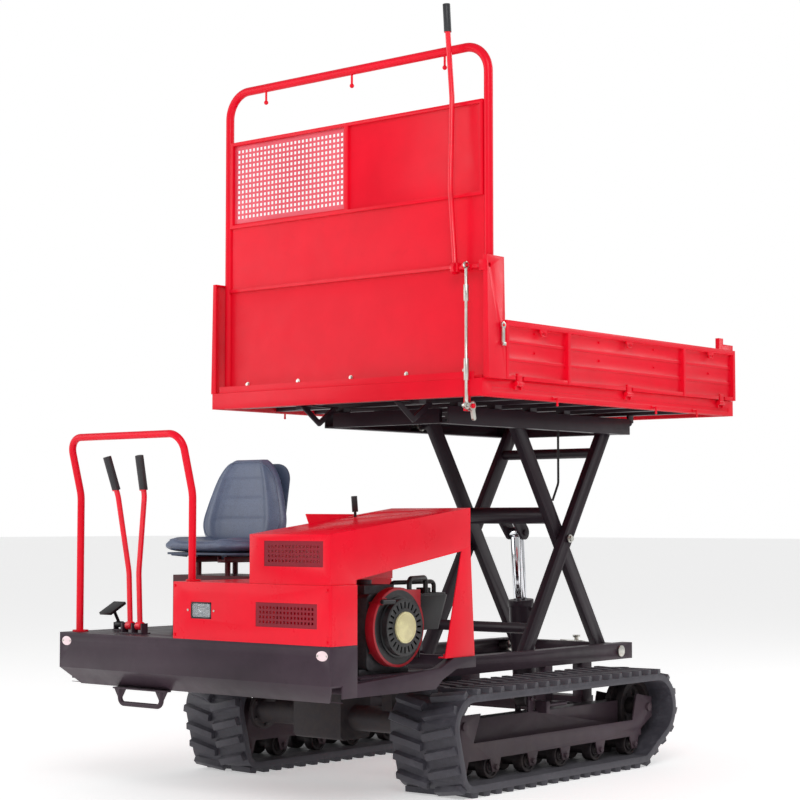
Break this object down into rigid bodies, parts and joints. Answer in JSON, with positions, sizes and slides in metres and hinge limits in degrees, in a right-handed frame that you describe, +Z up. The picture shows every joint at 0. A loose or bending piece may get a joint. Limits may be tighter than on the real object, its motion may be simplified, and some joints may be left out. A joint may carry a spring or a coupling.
{
  "type": "crawler carrier with lift bed",
  "caption": "Rubber-tracked ride-on carrier with an engine under a red cover, a driver seat and a drop-side bed raised on a scissor lift.",
  "frame": {"origin": "ground level at the centre of the footprint", "axes": "+Z up, front of the machine along -Y, its left-hand side along +X"},
  "size_m": [1.453, 2.624, 2.9177],
  "materials": {
    "frame_paint": "satin",
    "red_paint": "gloss",
    "rubber_track": "matte",
    "zinc": "zinc plated",
    "cast": "rough",
    "black_plastic": "matte",
    "grille": "satin",
    "lens": "clear",
    "reflector": "gloss",
    "chrome": "polished",
    "vinyl": "vinyl",
    "hose": "matte",
    "red_lever": "gloss with black grip"
  },
  "bodies": {
    "chassis": {"base_rails": "frame_paint", "frame_beams": "frame_paint", "front_bumper": "frame_paint", "floor_plate": "frame_paint", "bumper_reflectors": "reflector", "boarding_step": "frame_paint", "track_frames": "frame_paint", "track_belts": "rubber_track", "drive_gearbox": "cast", "engine_block": "cast", "fan_shroud": "red_paint", "recoil_cover": "black_plastic", "air_cleaner": "black_plastic", "engine_hoses": "hose", "lower_cover": "red_paint", "upper_cover": "red_paint", "cover_grilles": "grille", "headlamp_bezel": "black_plastic", "headlamp_lens": "lens", "guard_bar": "red_paint", "seat_stand": "grille", "chassis_pins": "zinc"},
    "sprockets": {"track_sprockets": "cast"},
    "idlers": {"track_idlers": "cast"},
    "carriers": {"carrier_rollers": "cast"},
    "rollers_1": {"track_rollers_1": "cast"},
    "rollers_2": {"track_rollers_2": "cast"},
    "rollers_3": {"track_rollers_3": "cast"},
    "rollers_4": {"track_rollers_4": "cast"},
    "rollers_5": {"track_rollers_5": "cast"},
    "rollers_6": {"track_rollers_6": "cast"},
    "steering_left": {"steering_lever_left": "red_lever"},
    "steering_right": {"steering_lever_right": "red_lever"},
    "pedal": {"foot_pedal": "black_plastic"},
    "shifter": {"shift_lever": "black_plastic"},
    "seat": {"seat_cushion": "vinyl", "seat_shell": "black_plastic"},
    "pull_handle": {"recoil_handle": "black_plastic"},
    "arms_inner": {"lift_arms_inner": "frame_paint"},
    "arms_outer": {"lift_arms_outer": "frame_paint"},
    "low_wheels": {"lower_lift_rollers": "zinc"},
    "top_wheels": {"upper_lift_rollers": "zinc"},
    "barrel": {"cylinder_barrel": "frame_paint"},
    "rod": {"cylinder_rod": "chrome"},
    "platform": {"upper_frame": "frame_paint", "lift_cable": "hose"},
    "bed": {"bed_floor": "red_paint", "bed_crossmembers": "frame_paint", "front_gate": "red_paint", "gate_hoop": "red_paint", "gate_mesh": "grille", "bed_hardware": "zinc"},
    "gate_left": {"side_gate_left": "red_paint"},
    "gate_right": {"side_gate_right": "red_paint"},
    "gate_rear": {"rear_gate": "red_paint"},
    "latch_left": {"post_latch_left": "zinc"},
    "latch_right": {"post_latch_right": "zinc"},
    "bed_lever": {"control_lever": "red_lever"},
    "link_rod": {"control_rod": "zinc"},
    "crank": {"bell_crank": "zinc"}
  },
  "joints": [
    {"name": "lift", "type": "hinge", "parent": "chassis", "child": "arms_inner", "pos_m": [0, 0.955, 0.43], "axis": [1, 0, 0], "range_deg": [0, 48]},
    {"name": "arms_cross", "type": "hinge", "parent": "arms_inner", "child": "arms_outer", "pos_m": [0, 0.64494, 0.91483], "axis": [1, 0, 0], "range_deg": [-96, 0]},
    {"name": "platform_level", "type": "hinge", "parent": "arms_outer", "child": "platform", "pos_m": [0, 0.955, 1.39966], "axis": [1, 0, 0], "range_deg": [0, 48]},
    {"name": "low_wheel_spin", "type": "hinge", "parent": "arms_outer", "child": "low_wheels", "pos_m": [0, 0.33487, 0.43], "axis": [1, 0, 0], "continuous": true},
    {"name": "top_wheel_spin", "type": "hinge", "parent": "arms_inner", "child": "top_wheels", "pos_m": [0, 0.33487, 1.39966], "axis": [1, 0, 0], "continuous": true},
    {"name": "cylinder_swing", "type": "hinge", "parent": "chassis", "child": "barrel", "pos_m": [0, 0.7, 0.3], "axis": [1, 0, 0], "range_deg": [0, 49.09]},
    {"name": "cylinder_stroke", "type": "slide", "parent": "barrel", "child": "rod", "axis": [0, -0.0858, 0.9963], "range_m": [-0.23273, 0]},
    {"name": "bed_dump", "type": "hinge", "parent": "platform", "child": "bed", "pos_m": [0, 1.06, 1.418], "axis": [-1, 0, 0], "range_deg": [0, 45]},
    {"name": "left_gate", "type": "hinge", "parent": "bed", "child": "gate_left", "pos_m": [0.705, 0.449, 1.496], "axis": [0, 1, 0], "range_deg": [0, 110]},
    {"name": "right_gate", "type": "hinge", "parent": "bed", "child": "gate_right", "pos_m": [-0.705, 0.449, 1.496], "axis": [0, -1, 0], "range_deg": [0, 110]},
    {"name": "rear_gate_hinge", "type": "hinge", "parent": "bed", "child": "gate_rear", "pos_m": [0, 1.302, 1.496], "axis": [-1, 0, 0], "range_deg": [0, 110]},
    {"name": "left_latch", "type": "hinge", "parent": "bed", "child": "latch_left", "pos_m": [0.72, -0.416, 1.705], "axis": [-1, 0, 0], "range_deg": [0, 100]},
    {"name": "right_latch", "type": "hinge", "parent": "bed", "child": "latch_right", "pos_m": [-0.72, -0.416, 1.705], "axis": [-1, 0, 0], "range_deg": [0, 100]},
    {"name": "bed_lever_pivot", "type": "hinge", "parent": "bed", "child": "bed_lever", "pos_m": [0.547, -0.48, 1.922], "axis": [1, 0, 0], "range_deg": [0, 15]},
    {"name": "link_rod_lift", "type": "slide", "parent": "bed", "child": "link_rod", "axis": [0, 0, 1], "range_m": [-0.0125, 0]},
    {"name": "crank_pivot", "type": "hinge", "parent": "bed", "child": "crank", "pos_m": [0.634, -0.48, 1.409], "axis": [1, 0, 0], "range_deg": [0, 15]},
    {"name": "left_steering", "type": "hinge", "parent": "chassis", "child": "steering_left", "pos_m": [-0.362, -1.2, 0.604], "axis": [-1, 0, 0], "range_deg": [0, 14]},
    {"name": "right_steering", "type": "hinge", "parent": "chassis", "child": "steering_right", "pos_m": [-0.415, -1.2, 0.604], "axis": [-1, 0, 0], "range_deg": [0, 14]},
    {"name": "pedal_press", "type": "hinge", "parent": "chassis", "child": "pedal", "pos_m": [-0.59, -1.095, 0.598], "axis": [1, 0, 0], "range_deg": [0, 14], "stiffness_Nm_per_rad": 12, "springref_deg": -8.59},
    {"name": "shift_pivot", "type": "hinge", "parent": "chassis", "child": "shifter", "pos_m": [0.344, -0.8, 0.93], "axis": [1, 0, 0], "range_deg": [-12, 12]},
    {"name": "seat_adjust", "type": "slide", "parent": "chassis", "child": "seat", "axis": [0, -1, 0], "range_m": [0, 0.06]},
    {"name": "pull_start", "type": "slide", "parent": "chassis", "child": "pull_handle", "axis": [1, 0, 0], "range_m": [0, 0.25]},
    {"name": "sprocket_drive", "type": "hinge", "parent": "chassis", "child": "sprockets", "pos_m": [0, -0.542, 0.251], "axis": [1, 0, 0], "continuous": true},
    {"name": "idler_spin", "type": "hinge", "parent": "chassis", "child": "idlers", "pos_m": [0, 0.682, 0.231], "axis": [1, 0, 0], "continuous": true},
    {"name": "carrier_spin", "type": "hinge", "parent": "chassis", "child": "carriers", "pos_m": [0, -0.04, 0.3107], "axis": [1, 0, 0], "continuous": true},
    {"name": "roller_1_spin", "type": "hinge", "parent": "chassis", "child": "rollers_1", "pos_m": [0, -0.547, 0.09], "axis": [1, 0, 0], "continuous": true},
    {"name": "roller_2_spin", "type": "hinge", "parent": "chassis", "child": "rollers_2", "pos_m": [0, -0.352, 0.09], "axis": [1, 0, 0], "continuous": true},
    {"name": "roller_3_spin", "type": "hinge", "parent": "chassis", "child": "rollers_3", "pos_m": [0, -0.12, 0.09], "axis": [1, 0, 0], "continuous": true},
    {"name": "roller_4_spin", "type": "hinge", "parent": "chassis", "child": "rollers_4", "pos_m": [0, 0.095, 0.09], "axis": [1, 0, 0], "continuous": true},
    {"name": "roller_5_spin", "type": "hinge", "parent": "chassis", "child": "rollers_5", "pos_m": [0, 0.335, 0.09], "axis": [1, 0, 0], "continuous": true},
    {"name": "roller_6_spin", "type": "hinge", "parent": "chassis", "child": "rollers_6", "pos_m": [0, 0.58, 0.09], "axis": [1, 0, 0], "continuous": true}
  ],
  "couplings": [
    {"joint": "arms_cross", "follows": "lift", "ratio": -2},
    {"joint": "platform_level", "follows": "lift", "ratio": 1},
    {"joint": "cylinder_swing", "follows": "lift", "ratio": 1.0226},
    {"joint": "cylinder_stroke", "follows": "lift", "m_per_rad": -0.27769},
    {"joint": "link_rod_lift", "follows": "bed_lever_pivot", "m_per_rad": -0.046},
    {"joint": "crank_pivot", "follows": "bed_lever_pivot", "ratio": 1},
    {"joint": "idler_spin", "follows": "sprocket_drive", "ratio": 0.81818},
    {"joint": "carrier_spin", "follows": "sprocket_drive", "ratio": 3},
    {"joint": "roller_1_spin", "follows": "sprocket_drive", "ratio": 2},
    {"joint": "roller_2_spin", "follows": "sprocket_drive", "ratio": 2},
    {"joint": "roller_3_spin", "follows": "sprocket_drive", "ratio": 2},
    {"joint": "roller_4_spin", "follows": "sprocket_drive", "ratio": 2},
    {"joint": "roller_5_spin", "follows": "sprocket_drive", "ratio": 2},
    {"joint": "roller_6_spin", "follows": "sprocket_drive", "ratio": 2}
  ]
}
